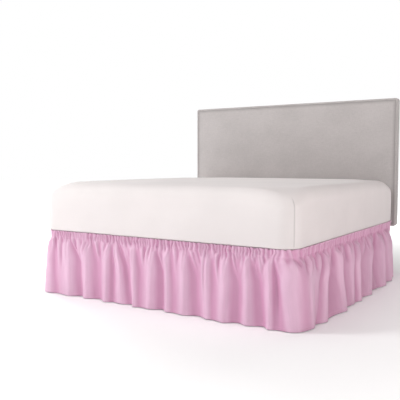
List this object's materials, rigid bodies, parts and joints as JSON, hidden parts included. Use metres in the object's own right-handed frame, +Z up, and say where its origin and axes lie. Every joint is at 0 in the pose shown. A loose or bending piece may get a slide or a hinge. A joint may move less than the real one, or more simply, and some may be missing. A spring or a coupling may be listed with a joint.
{
  "type": "bed skirt with bed",
  "caption": "Gathered wrap-around bed skirt on the base of a king-size bed, with its mattress, box spring, padded headboard and steel frame.",
  "frame": {"origin": "on the floor, under the middle of the bed", "axes": "+Z up; the foot of the bed faces -Y and the headboard stands at +Y; +X is to the right seen from the foot"},
  "size_m": [2.1761, 2.2061, 1.479],
  "materials": {
    "skirt_cloth": "pink brushed microfibre with a soft sheen",
    "sheet_cloth": "smooth off-white fitted sheet",
    "ticking_cloth": "plain pale ticking",
    "headboard_cloth": "pale grey woven upholstery",
    "leg_wood": "plain brown wood",
    "frame_steel": "black paint",
    "glide_plastic": "matte black"
  },
  "bodies": {
    "root": {"bed_skirt": "skirt_cloth", "mattress": "sheet_cloth", "box_spring": "ticking_cloth", "headboard": "headboard_cloth", "headboard_leg_left": "leg_wood", "headboard_leg_right": "leg_wood", "headboard_bracket_left": "frame_steel", "headboard_bracket_right": "frame_steel", "rail_left": "frame_steel", "rail_right": "frame_steel", "rail_foot": "frame_steel", "rail_head": "frame_steel", "rail_centre": "frame_steel", "leg_1": "frame_steel", "leg_2": "frame_steel", "leg_3": "frame_steel", "leg_4": "frame_steel", "leg_5": "frame_steel", "leg_6": "frame_steel", "leg_7": "frame_steel", "leg_8": "frame_steel", "glide_1": "glide_plastic", "glide_2": "glide_plastic", "glide_3": "glide_plastic", "glide_4": "glide_plastic", "glide_5": "glide_plastic", "glide_6": "glide_plastic", "glide_7": "glide_plastic", "glide_8": "glide_plastic"}
  },
  "joints": []
}
